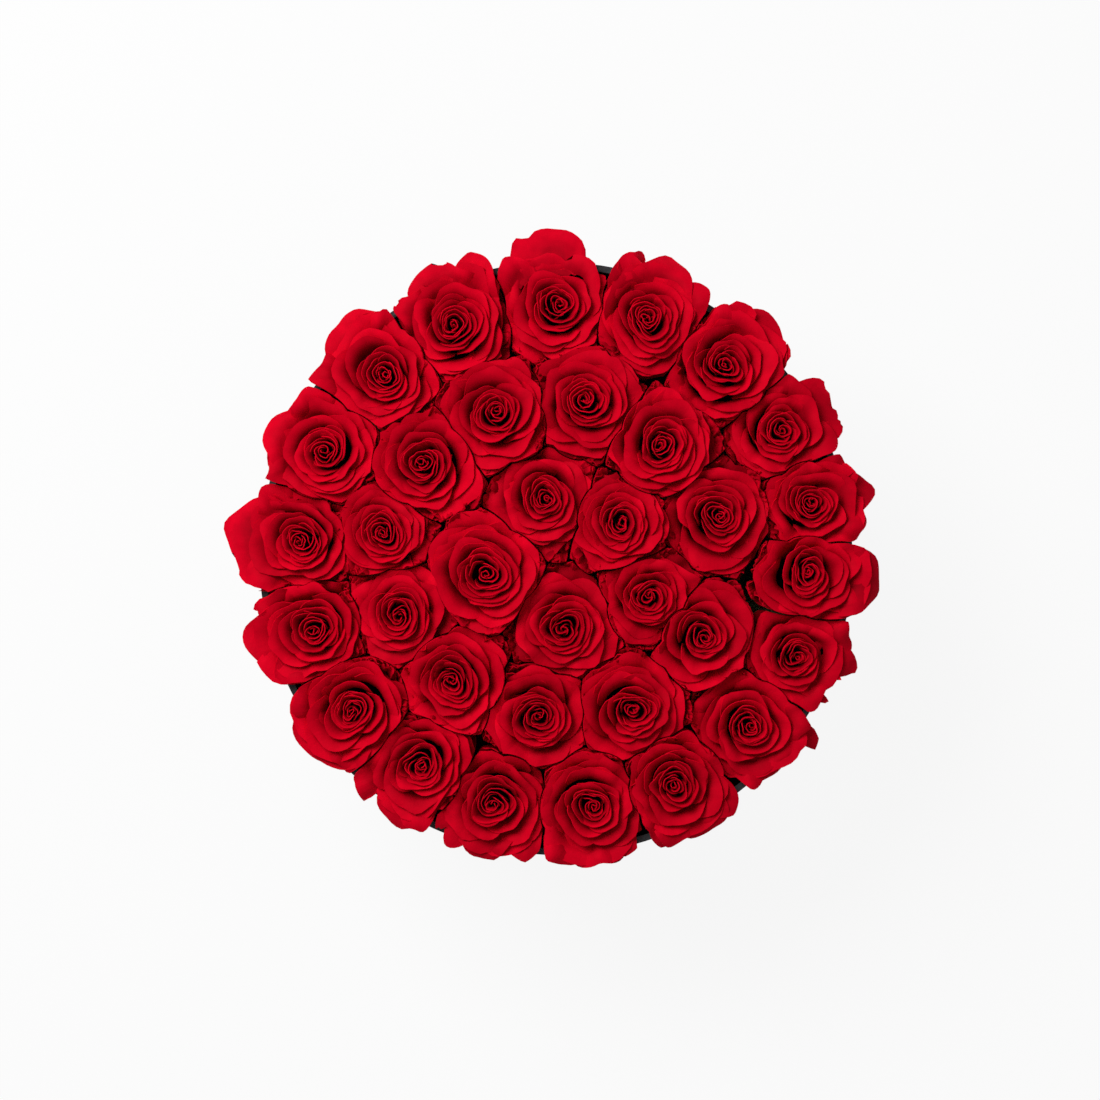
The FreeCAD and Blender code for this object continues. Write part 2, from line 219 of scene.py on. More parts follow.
@dataclass(frozen=True)
class Finish:
    """A real material, built from procedural nodes round one shader."""

    name: str

    def shader(self, tree: NodeTree) -> Node:
        """Builds the nodes that make the finish; each kind of finish has its own."""
        raise NotImplementedError

    def material(self) -> Material:
        """Makes the material and links its shader to its output.

        Returns:
            The material.
        """
        material = bpy.data.materials.new(self.name)
        material.use_nodes = True
        tree = material.node_tree
        tree.nodes.clear()
        add_node(tree, "OutputMaterial", {0: self.shader(tree)})
        return material


@dataclass(frozen=True)
class PetalFinish(Finish):
    """Preserved rose petal: dyed and kept soft with glycerine, so it is matt, velvety and evenly deep red.
    Its colour also holds painted shade, darker towards each petal's root, and a painted highlight at the lip.
    """

    name: str = "preserved_rose_petal"
    # painted shade: the near-black that each petal turns to deep between the petals inside it
    root: str = "#150002"
    face: str = "#ae0018"
    # painted highlight: the brighter red at the very lip of each petal
    lip: str = "#e20022"
    sheen: str = "#ff2038"
    petal_width: float = 28.0
    fibre_spacing: float = 0.9
    mottle_size: float = 5.0

    def shader(self, tree: NodeTree) -> Node:
        """Builds the nodes: painted shade darker towards the root, a painted highlight at the lip, each petal
        its own tone, fine fibres along it.

        Args:
            tree: the material's tree.

        Returns:
            The shader.
        """
        along = add_node(tree, "UVMap", uv_map="petal")
        # the map's second coordinate falls from the lip towards the root, faster for a petal with more
        # painted shade
        depth = add_node(tree, "SeparateXYZ", {0: along}).outputs[1]
        # painted shade and highlight: near-black at the root, the face's red, brighter at the lip
        ramp = add_node(
            tree, "ValToRGB", {0: depth}, stops=((0.45, self.root), (0.78, self.face), (0.985, self.lip))
        )
        ramp.color_ramp.interpolation = "EASE"
        place = add_node(tree, "TexCoord").outputs["Object"]
        spots = {"Vector": place, "Scale": 1 / (self.mottle_size * MM), "Detail": 3.0}
        mottle = add_node(tree, "TexNoise", spots)
        cloud = add_node(tree, "MapRange", {0: mottle, 1: 0.3, 2: 0.7, 3: 0.9, 4: 1.08})
        # each petal's tone: random dye tone, with painted shade on collar and filler petals
        tone = add_node(tree, "Attribute", attribute_name="tone").outputs["Fac"]
        level = add_node(tree, "Math", {0: tone, 1: cloud}, operation="MULTIPLY")
        colour = add_node(tree, "HueSaturation", {"Value": level, "Color": ramp})

        strands = self.petal_width / self.fibre_spacing
        fan = add_node(tree, "Mapping", {0: along, "Scale": (strands, 3.0, 1.0)})
        fibre = add_node(tree, "TexNoise", {"Vector": fan, "Scale": 1.0, "Detail": 2.0})
        bump = add_node(tree, "Bump", {"Strength": 0.35, "Distance": 0.3 * MM, "Height": fibre})
        looks = {
            "Base Color": colour,
            "Roughness": 0.62,
            "Specular IOR Level": 0.02,
            "Sheen Weight": 0.02,
            "Sheen Roughness": 0.4,
            "Sheen Tint": linear(self.sheen),
            "Normal": bump,
        }
        return add_node(tree, "BsdfPrincipled", looks)


@dataclass(frozen=True)
class GreenFinish(Finish):
    """Preserved rose green: calyx and stem, dulled to olive by the glycerine, with fine lengthwise fibre."""

    name: str = "preserved_rose_stem"
    dark: str = "#2c3a1a"
    light: str = "#56702f"
    fibre: float = 1.2
    stretch: float = 0.12

    def shader(self, tree: NodeTree) -> Node:
        """Builds the nodes: two greens mixed in streaks that run along the stem.

        Args:
            tree: the material's tree.

        Returns:
            The shader.
        """
        place = add_node(tree, "TexCoord").outputs["Object"]
        fine = self.fibre * MM
        size = (1 / fine, 1 / fine, self.stretch / fine)
        streak = add_node(tree, "Mapping", {0: place, "Scale": size})
        noise = add_node(tree, "TexNoise", {"Vector": streak, "Scale": 1.0, "Detail": 4.0})
        ramp = add_node(tree, "ValToRGB", {0: noise}, stops=((0.35, self.dark), (0.7, self.light)))
        bump = add_node(tree, "Bump", {"Strength": 0.4, "Distance": 0.2 * MM, "Height": noise})
        looks = {
            "Base Color": ramp,
            "Roughness": 0.55,
            "Specular IOR Level": 0.3,
            "Normal": bump,
        }
        return add_node(tree, "BsdfPrincipled", looks)


@dataclass(frozen=True)
class PaperFinish(Finish):
    """Black covering paper: dyed through and embossed like fine leather, so it takes only a broad soft gloss.

    The real grain is under a millimetre and wouldn't show, so it is drawn about three times as coarse.
    """

    name: str = "black_covering_paper"
    dark: str = "#030304"
    light: str = "#131315"
    rubbed: str = "#3a3a3d"
    grain: float = 2.3
    fibre: float = 3.0
    roughness: float = 0.5
    rim: float = 150.0
    rub: float = 1.6

    def shader(self, tree: NodeTree) -> Node:
        """Builds the nodes: embossed grain, short fibres, and dye that is rubbed along the rim and the foot.

        Args:
            tree: the material's tree.

        Returns:
            The shader.
        """
        place = add_node(tree, "TexCoord").outputs["Object"]
        cells = {"Vector": place, "Scale": 1 / (self.grain * MM)}
        grain = add_node(tree, "TexVoronoi", cells, feature="SMOOTH_F1").outputs["Distance"]
        threads = {"Vector": place, "Scale": 1 / (self.fibre * MM), "Detail": 3.0}
        fibre = add_node(tree, "TexNoise", threads)
        mix = add_node(tree, "Math", {0: grain, 1: fibre}, operation="MULTIPLY")
        ramp = add_node(tree, "ValToRGB", {0: mix}, stops=((0.05, self.light), (0.4, self.dark)))
        height = add_node(tree, "SeparateXYZ", {0: place}).outputs[2]
        top = add_node(tree, "MapRange", {0: height, 1: (self.rim - self.rub) * MM, 2: self.rim * MM})
        foot = add_node(tree, "MapRange", {0: height, 1: self.rub * MM, 2: 0.0})
        edge = add_node(tree, "Math", {0: top, 1: foot}, operation="MAXIMUM")
        worn = add_node(tree, "Math", {0: edge, 1: fibre}, operation="MULTIPLY")
        dyes = {0: worn, 6: ramp, 7: linear(self.rubbed)}
        tint = add_node(tree, "Mix", dyes, data_type="RGBA")
        gloss = {0: grain, 1: 0.1, 2: 0.7, 3: self.roughness - 0.06, 4: self.roughness + 0.12}
        relief = {"Strength": 0.8, "Distance": 0.4 * MM, "Height": grain}
        looks = {
            "Base Color": tint.outputs[2],
            "Roughness": add_node(tree, "MapRange", gloss),
            "Specular IOR Level": 0.2,
            "Normal": add_node(tree, "Bump", relief, invert=True),
        }
        return add_node(tree, "BsdfPrincipled", looks)


@dataclass(frozen=True)
class BoardFinish(Finish):
    """Grey board: pressed from waste paper, so it is dull and flecked with fibres of other greys."""

    name: str = "grey_board"
    dark: str = "#77736b"
    light: str = "#a8a297"
    fleck: float = 1.5

    def shader(self, tree: NodeTree) -> Node:
        """Builds the nodes: mixed greys in flecks.

        Args:
            tree: the material's tree.

        Returns:
            The shader.
        """
        place = add_node(tree, "TexCoord").outputs["Object"]
        flecks = {"Vector": place, "Scale": 1 / (self.fleck * MM), "Detail": 5.0}
        fleck = add_node(tree, "TexNoise", flecks)
        ramp = add_node(tree, "ValToRGB", {0: fleck}, stops=((0.35, self.dark), (0.65, self.light)))
        bump = add_node(tree, "Bump", {"Strength": 0.3, "Distance": 0.1 * MM, "Height": fleck})
        looks = {"Base Color": ramp, "Roughness": 0.85, "Normal": bump}
        return add_node(tree, "BsdfPrincipled", looks)


@dataclass(frozen=True)
class FoamFinish(Finish):
    """Dry floral foam: rigid, open-celled and dusty, so it is quite matt and pitted all over.

    The real cells are a fraction of a millimetre and wouldn't show, so they are drawn coarser.
    """

    name: str = "dry_floral_foam"
    dark: str = "#2f3a26"
    light: str = "#5c6a4a"
    cell: float = 1.4
    cloud: float = 12.0

    def shader(self, tree: NodeTree) -> Node:
        """Builds the nodes: pitted cells and a cloudy green.

        Args:
            tree: the material's tree.

        Returns:
            The shader.
        """
        place = add_node(tree, "TexCoord").outputs["Object"]
        pits = {"Vector": place, "Scale": 1 / (self.cell * MM)}
        cells = add_node(tree, "TexVoronoi", pits).outputs["Distance"]
        clouds = {"Vector": place, "Scale": 1 / (self.cloud * MM), "Detail": 6.0}
        cloud = add_node(tree, "TexNoise", clouds)
        mix = add_node(tree, "Math", {0: cells, 1: cloud}, operation="ADD")
        ramp = add_node(tree, "ValToRGB", {0: mix}, stops=((0.5, self.dark), (1.0, self.light)))
        bump = add_node(tree, "Bump", {"Strength": 0.8, "Distance": 0.5 * MM, "Height": cells})
        looks = {
            "Base Color": ramp,
            "Roughness": 0.95,
            "Specular IOR Level": 0.1,
            "Normal": bump,
        }
        return add_node(tree, "BsdfPrincipled", looks)


@dataclass(frozen=True)
class FloorFinish(Finish):
    """White studio floor: plain to the eye, with the object's soft shadow kept."""

    name: str = "studio_floor"
    colour: str = "#f6f6f6"
    shown: float = 0.9

    def shader(self, tree: NodeTree) -> Node:
        """Builds the nodes: matt white that the eye, gloss and glass see mostly as plain white.

        Args:
            tree: the material's tree.

        Returns:
            The shader.
        """
        share = add_node(tree, "Math", {0: plain_rays(tree), 1: self.shown}, operation="MULTIPLY")
        matt = add_node(tree, "BsdfDiffuse", {0: linear(self.colour)})
        white = add_node(tree, "Emission", {0: linear("#ffffff"), 1: 1.0})
        return add_node(tree, "MixShader", {0: share, 1: matt, 2: white})


@dataclass(frozen=True)
class Guard:
    """One wide outer petal that opens over the rim of the box."""

    bearing: float
    reach: float
    half_width: float


@dataclass(frozen=True)
class Seat:
    """Where one rose stands, where its crown leans to, and the guard petals that it opens over the rim."""

    bearing: float
    crown: tuple[float, float]
    out: float = 0.0
    grade: Grade = Grade.FULL
    guards: tuple[Guard, ...] = ()


RIM_SEATS = (
    Seat(0.0, (0.0, 128.2), guards=(Guard(358.5, 166.5, 23),)),
    Seat(21.2, (47.2, 121.2), guards=(Guard(12.5, 159.5, 8), Guard(22.0, 158.5, 20))),
    Seat(41.6, (85.8, 96.6), guards=(Guard(42.0, 164.0, 22),)),
    Seat(60.5, (113.4, 64.5), grade=Grade.SMALL, guards=(Guard(60.0, 163.0, 22),)),
    Seat(78.0, (128.9, 26.8), grade=Grade.SMALL, guards=(Guard(77.0, 161.0, 17),)),
    Seat(95.5, (127.4, -7.8), grade=Grade.SMALL, guards=(Guard(94.5, 160.5, 20),)),
    Seat(113.1, (120.9, -49.4), grade=Grade.SMALL, guards=(Guard(112.0, 159.6, 19),)),
    Seat(132.0, (96.8, -84.5), guards=(Guard(134.0, 155.5, 18), Guard(126.0, 160.5, 14))),
    Seat(152.3, (60.2, -113.6), guards=(Guard(158.0, 154.0, 12), Guard(150.0, 157.0, 17))),
    Seat(172.6, (17.6, -125.2), guards=(Guard(172.0, 157.6, 16),)),
    Seat(193.4, (-30.6, -123.7), guards=(Guard(193.5, 155.6, 18),)),
    Seat(213.6, (-68.2, -103.6), guards=(Guard(211.0, 154.0, 20),)),
    Seat(233.8, (-102.4, -76.0), guards=(Guard(233.0, 160.0, 22),)),
    Seat(254.0, (-121.9, -35.9), guards=(Guard(254.0, 162.0, 19),)),
    Seat(274.3, (-128.4, 9.3), guards=(Guard(274.0, 167.0, 22),)),
    Seat(294.7, (-115.9, 53.4), guards=(Guard(294.0, 158.4, 21),)),
    Seat(316.4, (-87.3, 92.6), guards=(Guard(319.0, 160.6, 18),)),
    Seat(336.8, (-50.7, 118.2), guards=(Guard(347.0, 156.0, 12), Guard(338.0, 161.0, 18))),
)
MIDDLE_SEATS = (
    Seat(339.0, (-30.6, 73.0)),
    Seat(11.5, (15.6, 79.5)),
    Seat(43.4, (53.7, 56.9)),
    Seat(75.1, (81.3, 21.8)),
    Seat(117.0, (73.3, -38.9), out=4.0, grade=Grade.SMALL),
    Seat(153.7, (38.1, -77.0)),
    Seat(186.2, (-9.5, -80.0)),
    Seat(217.8, (-51.7, -62.5)),
    Seat(249.2, (-79.3, -27.8)),
    Seat(278.4, (-87.3, 13.8), out=1.0, grade=Grade.SMALL),
    Seat(307.6, (-66.2, 47.4)),
)
HEART_SEATS = (
    Seat(345.0, (-6.0, 30.4), out=-6.5, grade=Grade.SMALL),
    Seat(57.0, (32.1, 18.3), out=-1.5, grade=Grade.SMALL),
    Seat(112.0, (47.2, -19.8), out=9.0, grade=Grade.SMALL),
    Seat(174.0, (4.5, -34.9), out=-2.0),
    Seat(258.0, (-36.1, -7.3), out=-1.0),
)


@dataclass(eq=False)
class Stand:
    """The frame of one rose: its seat on the foam's dome, its stem's line and the place of its crown."""

    name: str
    ring: Ring
    seat: Seat
    foam_top: float
    level: float
    dome_radius: float = 900.0
    lip_level: float = 52.0
    origin: Array = field(init=False)
    outward: Array = field(init=False)
    sideways: Array = field(init=False)
    axis: Array = field(init=False)
    crown: Array = field(init=False)

    def __post_init__(self) -> None:
        """Works out the axes from the seat's bearing and ring."""
        bearing = math.radians(self.seat.bearing)
        lean = math.asin((self.ring.value + self.seat.out) / self.dome_radius)
        flat = np.array((math.sin(bearing), math.cos(bearing), 0.0))
        up = np.array((0.0, 0.0, 1.0))
        self.axis = flat * math.sin(lean) + up * math.cos(lean)
        self.outward = flat * math.cos(lean) - up * math.sin(lean)
        self.sideways = np.cross(self.axis, self.outward)
        self.origin = self.centre + self.axis * self.dome_radius
        level = self.origin[2] + self.lip_level * self.axis[2]
        self.crown = np.array((*self.seat.crown, level))

    @property
    def centre(self) -> Array:
        """The middle of the sphere that the foam's top is part of."""
        return np.array((0.0, 0.0, self.foam_top - self.dome_radius))

    def local(self, points: Array) -> Array:
        """Points of the row frame in the rose's own frame: outward, sideways and along the stem."""
        return (points - self.origin) @ np.stack((self.outward, self.sideways, self.axis)).T

    def placed(self, points: Array) -> Array:
        """Points of the rose's own frame in the row frame, one row each."""
        return points @ np.stack((self.outward, self.sideways, self.axis)) + self.origin

    def spot(self, distance: Array, direction: Array) -> Array:
        """Points of the row frame at that distance and direction from the crown, square to the stem."""
        way = np.cos(direction)[..., None] * self.outward + np.sin(direction)[..., None] * self.sideways
        return self.crown + np.asarray(distance)[..., None] * way

    def sight(self, points: Array) -> tuple[Array, Array]:
        """Sees points from the crown, each along its line to the dome's centre, so that no pull shifts it.

        Args:
            points: points of the row frame.

        Returns:
            The distance and the direction of each point from the crown, square to the stem.
        """
        way = points - self.centre
        level = (self.crown - self.centre) @ self.axis
        seen = self.centre + way * (level / (way @ self.axis))[..., None]
        offset = self.local(seen) - self.local(self.crown)
        return np.hypot(offset[..., 0], offset[..., 1]), np.arctan2(offset[..., 1], offset[..., 0])


@dataclass(frozen=True)
class Border:
    """The line where two neighbours meet: the lobes of the petals of the head that stands higher."""

    upper: Stand
    lower: Stand
    radius: float
    lobe: float
    lobe_width: float
    lobe_phase: float
    bow: float = 0.75
    least_facing: float = 0.15
    far: float = 90.0
    span: float = 48.0
    strides: int = 97
    halvings: int = 18
    cusp: float = 0.02
    lobe_mean: float = 0.75

    def reach(self, direction: Array) -> Array:
        """How far the line is from the upper crown.

        Args:
            direction: the directions, seen from the upper rose.

        Returns:
            The distances, or a far one where the line isn't met.
        """
        turn = direction - self.upper.sight(self.lower.crown)[1]
        turn = np.remainder(turn + math.pi, 2 * math.pi) - math.pi
        facing = np.cos(turn)
        crest = np.abs(np.cos(math.pi * self.radius * turn / self.lobe_width + self.lobe_phase))
        sway = self.lobe * (np.sqrt(crest + self.cusp) - self.lobe_mean)
        limit = (self.radius + sway) / np.maximum(facing, self.least_facing) ** self.bow
        return np.where(facing > self.least_facing, limit, self.far)

    def limit(self, stand: Stand, direction: Array) -> Array:
        """How far the line is from either of its two roses.

        Args:
            stand: one of the two.
            direction: the directions, seen from that rose.

        Returns:
            The distances, or a far one where the line isn't met.
        """
        if stand is self.upper:
            return self.reach(direction)
        strides = np.linspace(0.0, self.span, self.strides)
        distance, way = self.upper.sight(stand.spot(strides[:, None], direction))
        inside = distance < self.reach(way)
        first = inside.argmax(axis=0)
        near, beyond = strides[np.maximum(first - 1, 0)], strides[first]
        for _ in range(self.halvings):
            middle = (near + beyond) / 2
            distance, way = self.upper.sight(stand.spot(middle, direction))
            within = distance < self.reach(way)
            near, beyond = np.where(within, near, middle), np.where(within, middle, beyond)
        return np.where(inside.any(axis=0), near, self.far)


@dataclass
class Room:
    """The room that one rose has among its neighbours, kept by direction."""

    stand: Stand
    borders: list[Border]
    reach: float
    steps: int = 720
    window: int = 2
    blend: int = 40
    clearance: float = 0.22
    corner: float = 16.0
    raised: float = 0.6
    tucked: float = -2.4
    rim: float = 150.0
    directions: Array = field(init=False)
    hard: Array = field(init=False)
    outline: Array = field(init=False)
    lift: Array = field(init=False)
    corners: Array = field(init=False)
    notches: Array = field(init=False)

    def __post_init__(self) -> None:
        """Works out the limits, how far each edge is raised or tucked under, and where the corners are."""
        self.directions = np.linspace(-math.pi, math.pi, self.steps, endpoint=False)
        limits = np.stack([border.limit(self.stand, self.directions) for border in self.borders])
        least = limits.min(axis=0)
        turns = range(-self.window, self.window + 1)
        least = np.min([np.roll(least, turn) for turn in turns], axis=0)
        self.hard = np.mean([np.roll(least, turn) for turn in turns], axis=0) - self.clearance

        shut = least < self.reach
        outline = np.where(shut, np.median(least[shut]), self.reach)
        turns = range(-self.blend, self.blend + 1)
        self.outline = np.mean([np.roll(outline, turn) for turn in turns], axis=0)
        closeness = limits**-self.corner
        total = closeness.sum(axis=0)
        lifts = [self.raised if border.upper is self.stand else self.tucked for border in self.borders]
        self.lift = (np.array(lifts)[:, None] * closeness).sum(axis=0) / total

        closest = limits.argmin(axis=0)
        self.corners = self.directions[(closest != np.roll(closest, 1)) & shut & np.roll(shut, 1)]
        beyond = np.hypot(*self.stand.spot(self.hard, self.directions)[:, :2].T) > self.rim
        self.notches = self.directions[beyond != np.roll(beyond, 1)]

    def at(self, table: Array, direction: Array) -> Array:
        """Reads one of the tables in any directions."""
        return np.interp(direction, self.directions, table, period=2 * math.pi)

    def free(self, direction: Array, spare: float = 0.0) -> Array:
        """How far a petal may open before it meets a neighbour or the end of its reach.

        Args:
            direction: the directions.
            spare: how much further than the others the petal may open where nothing is in its way.

        Returns:
            The distances.
        """
        limit = self.at(self.hard, direction)
        return (limit**-self.corner + (self.reach + spare) ** -self.corner) ** (-1 / self.corner)


@dataclass(frozen=True)
class Wall:
    """The wall of the box as petals meet it: they stay inside it, or hang over it clear of its rim."""

    radius: float = 145.6
    taper: float = 0.14
    open_level: Range = (153.0, 156.0)
    open_by: float = 45.0
    sharpness: int = 40
    over_from: float = 137.0
    hang_from: float = 146.0
    hang: float = 0.03
    clear_level: float = 153.4
    clear_from: float = 153.0
    clear_fall: float = 0.6

    def inside(self, points: Array) -> Array:
        """Keeps petals inside the wall below its rim, with room to be pulled out.

        Args:
            points: points in the row frame.

        Returns:
            The points, drawn in where they were outside.
        """
        distance = np.maximum(np.hypot(points[:, 0], points[:, 1]), 1e-6)
        limit = self.radius - self.taper * np.maximum(0, self.open_level[0] - points[:, 2])
        limit = limit + self.open_by * smooth_step(*self.open_level, points[:, 2])
        drawn = distance / (1 + (distance / limit) ** self.sharpness) ** (1 / self.sharpness)
        result = points.copy()
        result[:, :2] *= (drawn / distance)[:, None]
        return result

    def over(self, points: Array) -> Array:
        """Lets a guard petal hang outside the wall, clear of its rim.

        Args:
            points: points in the row frame.

        Returns:
            The points, lowered outside the wall.
        """
        distance = np.hypot(points[:, 0], points[:, 1])
        hang = self.hang * np.maximum(0, distance - self.hang_from) ** 2
        clear = self.clear_level - self.clear_fall * np.maximum(0, distance - self.clear_from)
        lowered = np.maximum(points[:, 2] - hang, clear)
        result = points.copy()
        result[:, 2] = np.where(distance > self.over_from, lowered, points[:, 2])
        return result


class Kind(Enum):
    """The kinds of petal in a bloom, each with the range of its tone and the crumple of its lip. The tone is
    the dye's random tone; for collar and filler petals it is set lower as painted shade.
    """

    WHORL = (0.8, 1.08, 0.7)
    # Collar and filler petals lie deep between the roses; their lower tones are painted shade.
    COLLAR = (0.42, 0.8, 1.0)
    FILLER = (0.6, 1.0, 1.0)
    GUARD = (0.8, 1.04, 0.2)

    @property
    def tones(self) -> Range:
        """The range of the tone: random dye tone, lower for collar and filler petals as painted shade."""
        return self.value[:2]

    @property
    def crumple(self) -> float:
        """How crumpled the lip is, against the most crumpled kind."""
        return self.value[2]


@dataclass
class Petal:
    """One petal as a grid of points round the heart's line."""

    kind: Kind
    lip: float
    out: Array
    direction: Array
    up: Array
    ripple: Array


@dataclass
class Bloom:
    """One rose bloom.

    The curves of nine give each measure at the `stations`, distances of a petal's lip from the heart. `lips`
    gives those distances for the petals numbered in `counts`.
    """

    stand: Stand
    borders: list[Border]
    seed: int
    petals: int = 39
    across: int = 21
    along: int = 11
    height: float = 43.0
    base: float = 10.0
    thickness: float = 0.42
    open_radius: float = 22.0
    collar_from: float = 27.5
    heart_radius: float = 6.0
    counts: Curve = (0, 4, 6, 11, 17, 21, 25, 31, 32, 39)
    lips: Curve = (0.7, 2.9, 4.2, 8.0, 12.0, 16.0, 19.5, 24.0, 29.0, 36.0)
    stations: Curve = (0, 2, 5, 8.5, 12, 16, 20, 26, 34)
    lip_drop: Curve = (4.6, 3.8, 1.8, 0.0, 0.7, 2.5, 4.8, 8.6, 16.0)
    lip_lean: Curve = (-10, -8, -2, 26, 48, 68, 80, 90, 94)
    lip_stray: Curve = (0.25, 0.3, 0.4, 0.7, 1.1, 1.5, 1.4, 0.8, 0.5)
    lip_length: Curve = (4, 4, 5, 6, 7.5, 9, 11, 13, 16)
    foot_radius: Curve = (0.4, 0.8, 1.6, 2.6, 3.4, 4.2, 4.8, 5.2, 5.2)
    foot_height: Curve = (16, 14, 10, 7, 5, 3, 1.5, 0.5, 0.5)
    foot_lean: Curve = (0, 4, 12, 22, 32, 42, 50, 58, 62)
    foot_length: Curve = (6, 7, 8, 10, 12, 14, 15, 16, 18)
    half_angle: Curve = (1.9, 1.8, 1.7, 1.6, 1.45, 1.3, 1.2, 1.0, 0.85)
    twist: Curve = (0.22, 0.28, 0.45, 0.6, 0.8, 1.0, 1.1, 1.0, 0.6)
    wave: Curve = (0.3, 0.45, 0.65, 0.85, 1.0, 1.3, 1.8, 2.6, 3.2)
    curl: Curve = (0.4, 0.5, 0.6, 0.7, 0.8, 0.9, 0.9, 1.0, 1.2)
    eccentric: Curve = (1.5, 1.3, 0.8, 0.4, 0.2, 0.0, 0.0, 0.0, 0.0)
    astray: Curve = (0.5, 0.7, 0.9, 0.8, 0.7, 0.6, 0.4, 0.0, 0.0)
    # how fast each petal darkens into painted shade away from its lip
    shade: Curve = (2.4, 2.4, 2.6, 2.2, 1.35, 0.95, 0.8, 0.7, 0.7)
    oval: Curve = (0.09, 0.05)
    filler_seed: int = 500
    filler_grid: tuple[int, int] = (8, 13)
    filler_width: Range = (2.6, 6.0)
    filler_wave: float = 1.9
    filler_lean: Range = (0, 60)
    filler_length: float = 8.0
    filler_reach: Range = (0.93, 1.03)
    # how fast a filler petal darkens into painted shade away from its lip
    filler_shade: float = 1.8
    corner_drop: Range = (5.0, 12.0)
    corner_fillers: int = 5
    corner_stray: float = 0.2
    edge_drop: Range = (5.0, 9.0)
    edge_fillers: int = 10
    guard_spare: float = 6.0
    tuck_reach: Range = (148.5, 153.0)
    tuck_width: float = 12.5
    tuck_turn: float = 1.4
    guard_level: Range = (157.0, 160.0)
    guard_rise: float = 0.135
    guard_dip: float = 10.0
    guard_round: float = 0.6
    open_reach: float = 170.0
    crowding: float = 1.6
    core: float = 0.12
    end_fall: Range = (0.24, 0.36)
    end_peak: float = 0.085
    end_round: Range = (3.0, 4.6)
    lean_stray: float = 13.0
    top_stray: float = 0.5
    angle_stray: Range = (0.92, 1.1)
    width_share: float = 0.72
    plain_waves: Curve = (1.6, 3.4, 6.2)
    crumple_waves: tuple[tuple[float, float], ...] = ((11.0, 0.6), (17.0, 0.35))
    wave_share: Range = (0.2, 0.6)
    roll_fade: Range = (0.82, 1.0)
    side_fade: Range = (0.8, 1.0)
    spread: Range = (0.96, 1.04)
    spin_stray: float = 0.35
    ring_starts: Range = (2.5, 5.0)
    ring_ends: Range = (9.0, 16.0)
    least_lip: float = 0.5
    oval_fade: Range = (6.0, 22.0)
    fit_fade: Range = (9.0, 20.0)
    fit_most: float = 1.6
    edge_fade: Range = (0.55, 0.95)
    lean_from: float = 4.0
    lean_share: float = 0.72
    smooth_angle: float = 60.0
    wall: Wall = Wall()
    rng: np.random.Generator = field(init=False)
    hand: float = field(init=False)
    scale: float = field(init=False)
    room: Room = field(init=False)

    def __post_init__(self) -> None:
        """Starts the rose's random numbers, and finds the way that its petals lap, its size and its room."""
        self.rng = np.random.default_rng(self.seed)
        self.hand = 1.0 if self.rng.random() < 0.5 else -1.0
        self.scale = self.stand.seat.grade.value
        reaches = [guard.reach for guard in self.stand.seat.guards]
        reach = max(reaches, default=self.open_reach) - math.hypot(*self.stand.seat.crown)
        self.room = Room(self.stand, self.borders, reach)

    def at(self, measures: Curve, lip: float) -> float:
        """The value of a measure for a petal with its lip at that distance from the heart."""
        return float(np.interp(lip, self.stations, measures))

    def rows(self, count: int) -> Array:
        """How far each row of a petal's grid is along it, closer together towards the lip."""
        return 1 - (1 - np.linspace(0, 1, count)) ** self.crowding

    def petal(
        self,
        rng: np.random.Generator,
        kind: Kind,
        lip: float,
        spin: float,
        half_width: float = 0.0,
        drop: float = 0.0,
    ) -> Petal:
        """Shapes one petal.

        Args:
            rng: the random numbers to draw from.
            kind: the kind of petal.
            lip: how far the lip is from the heart.
            spin: the petal's direction.
            half_width: half of the width of a filler or guard petal.
            drop: how much lower the lip is than the crest, where it isn't the usual measure.

        Returns:
            The petal round the heart's line, before it is fitted among its neighbours.
        """
        crumpled = kind is Kind.FILLER
        along, across = self.filler_grid if crumpled else (self.along, self.across)
        u = np.linspace(-1, 1, across)[None, :]
        v = self.rows(along)[:, None]
        fall = rng.uniform(*self.end_fall)
        peak = rng.uniform(0.0, self.end_peak) * rng.integers(0, 2)
        roundness = rng.uniform(*self.end_round) * (self.guard_round if kind is Kind.GUARD else 1.0)
        end = 1 - fall * np.abs(u) ** roundness + peak * np.exp(-((u - rng.uniform(-0.3, 0.3)) / 0.18) ** 2)
        s = v * end

        if crumpled:
            lean = math.radians(rng.uniform(*self.filler_lean))
        else:
            lean = math.radians(self.at(self.lip_lean, lip) + rng.uniform(-self.lean_stray, self.lean_stray))
        foot_lean = math.radians(self.at(self.foot_lean, lip))
        drop = drop or self.at(self.lip_drop, lip)
        top = self.height - drop + rng.uniform(-self.top_stray, self.top_stray)
        reach = self.filler_length if crumpled else self.at(self.lip_length, lip)
        stride = self.at(self.foot_length, lip)
        foot = np.array((self.at(self.foot_radius, lip), self.at(self.foot_height, lip)))
        rise = foot + stride * np.array((math.sin(foot_lean), math.cos(foot_lean)))
        end_point = np.array((lip, top))
        bend = end_point - reach * np.array((math.sin(lean), math.cos(lean)))
        out, up = [
            foot[k] * (1 - s) ** 3
            + 3 * rise[k] * s * (1 - s) ** 2
            + 3 * bend[k] * s**2 * (1 - s)
            + end_point[k] * s**3
            for k in (0, 1)
        ]

        roll = self.at(self.curl, lip) * smooth_step(*self.roll_fade, v) * np.ones_like(u)
        edge = self.at(self.curl, lip) * smooth_step(*self.side_fade, np.abs(u)) * v
        out = out + roll + 0.6 * edge
        ripple = -0.4 * roll - 0.3 * edge

        if half_width:
            half = half_width / (self.width_share * lip)
        else:
            half = self.at(self.half_angle, lip) * rng.uniform(*self.angle_stray)
        width = 0.45 + 0.55 * smooth_step(0.0, 0.85, v)
        turn = half * u * width
        out = out + self.at(self.twist, lip) * half * u * (0.3 + 0.7 * v)

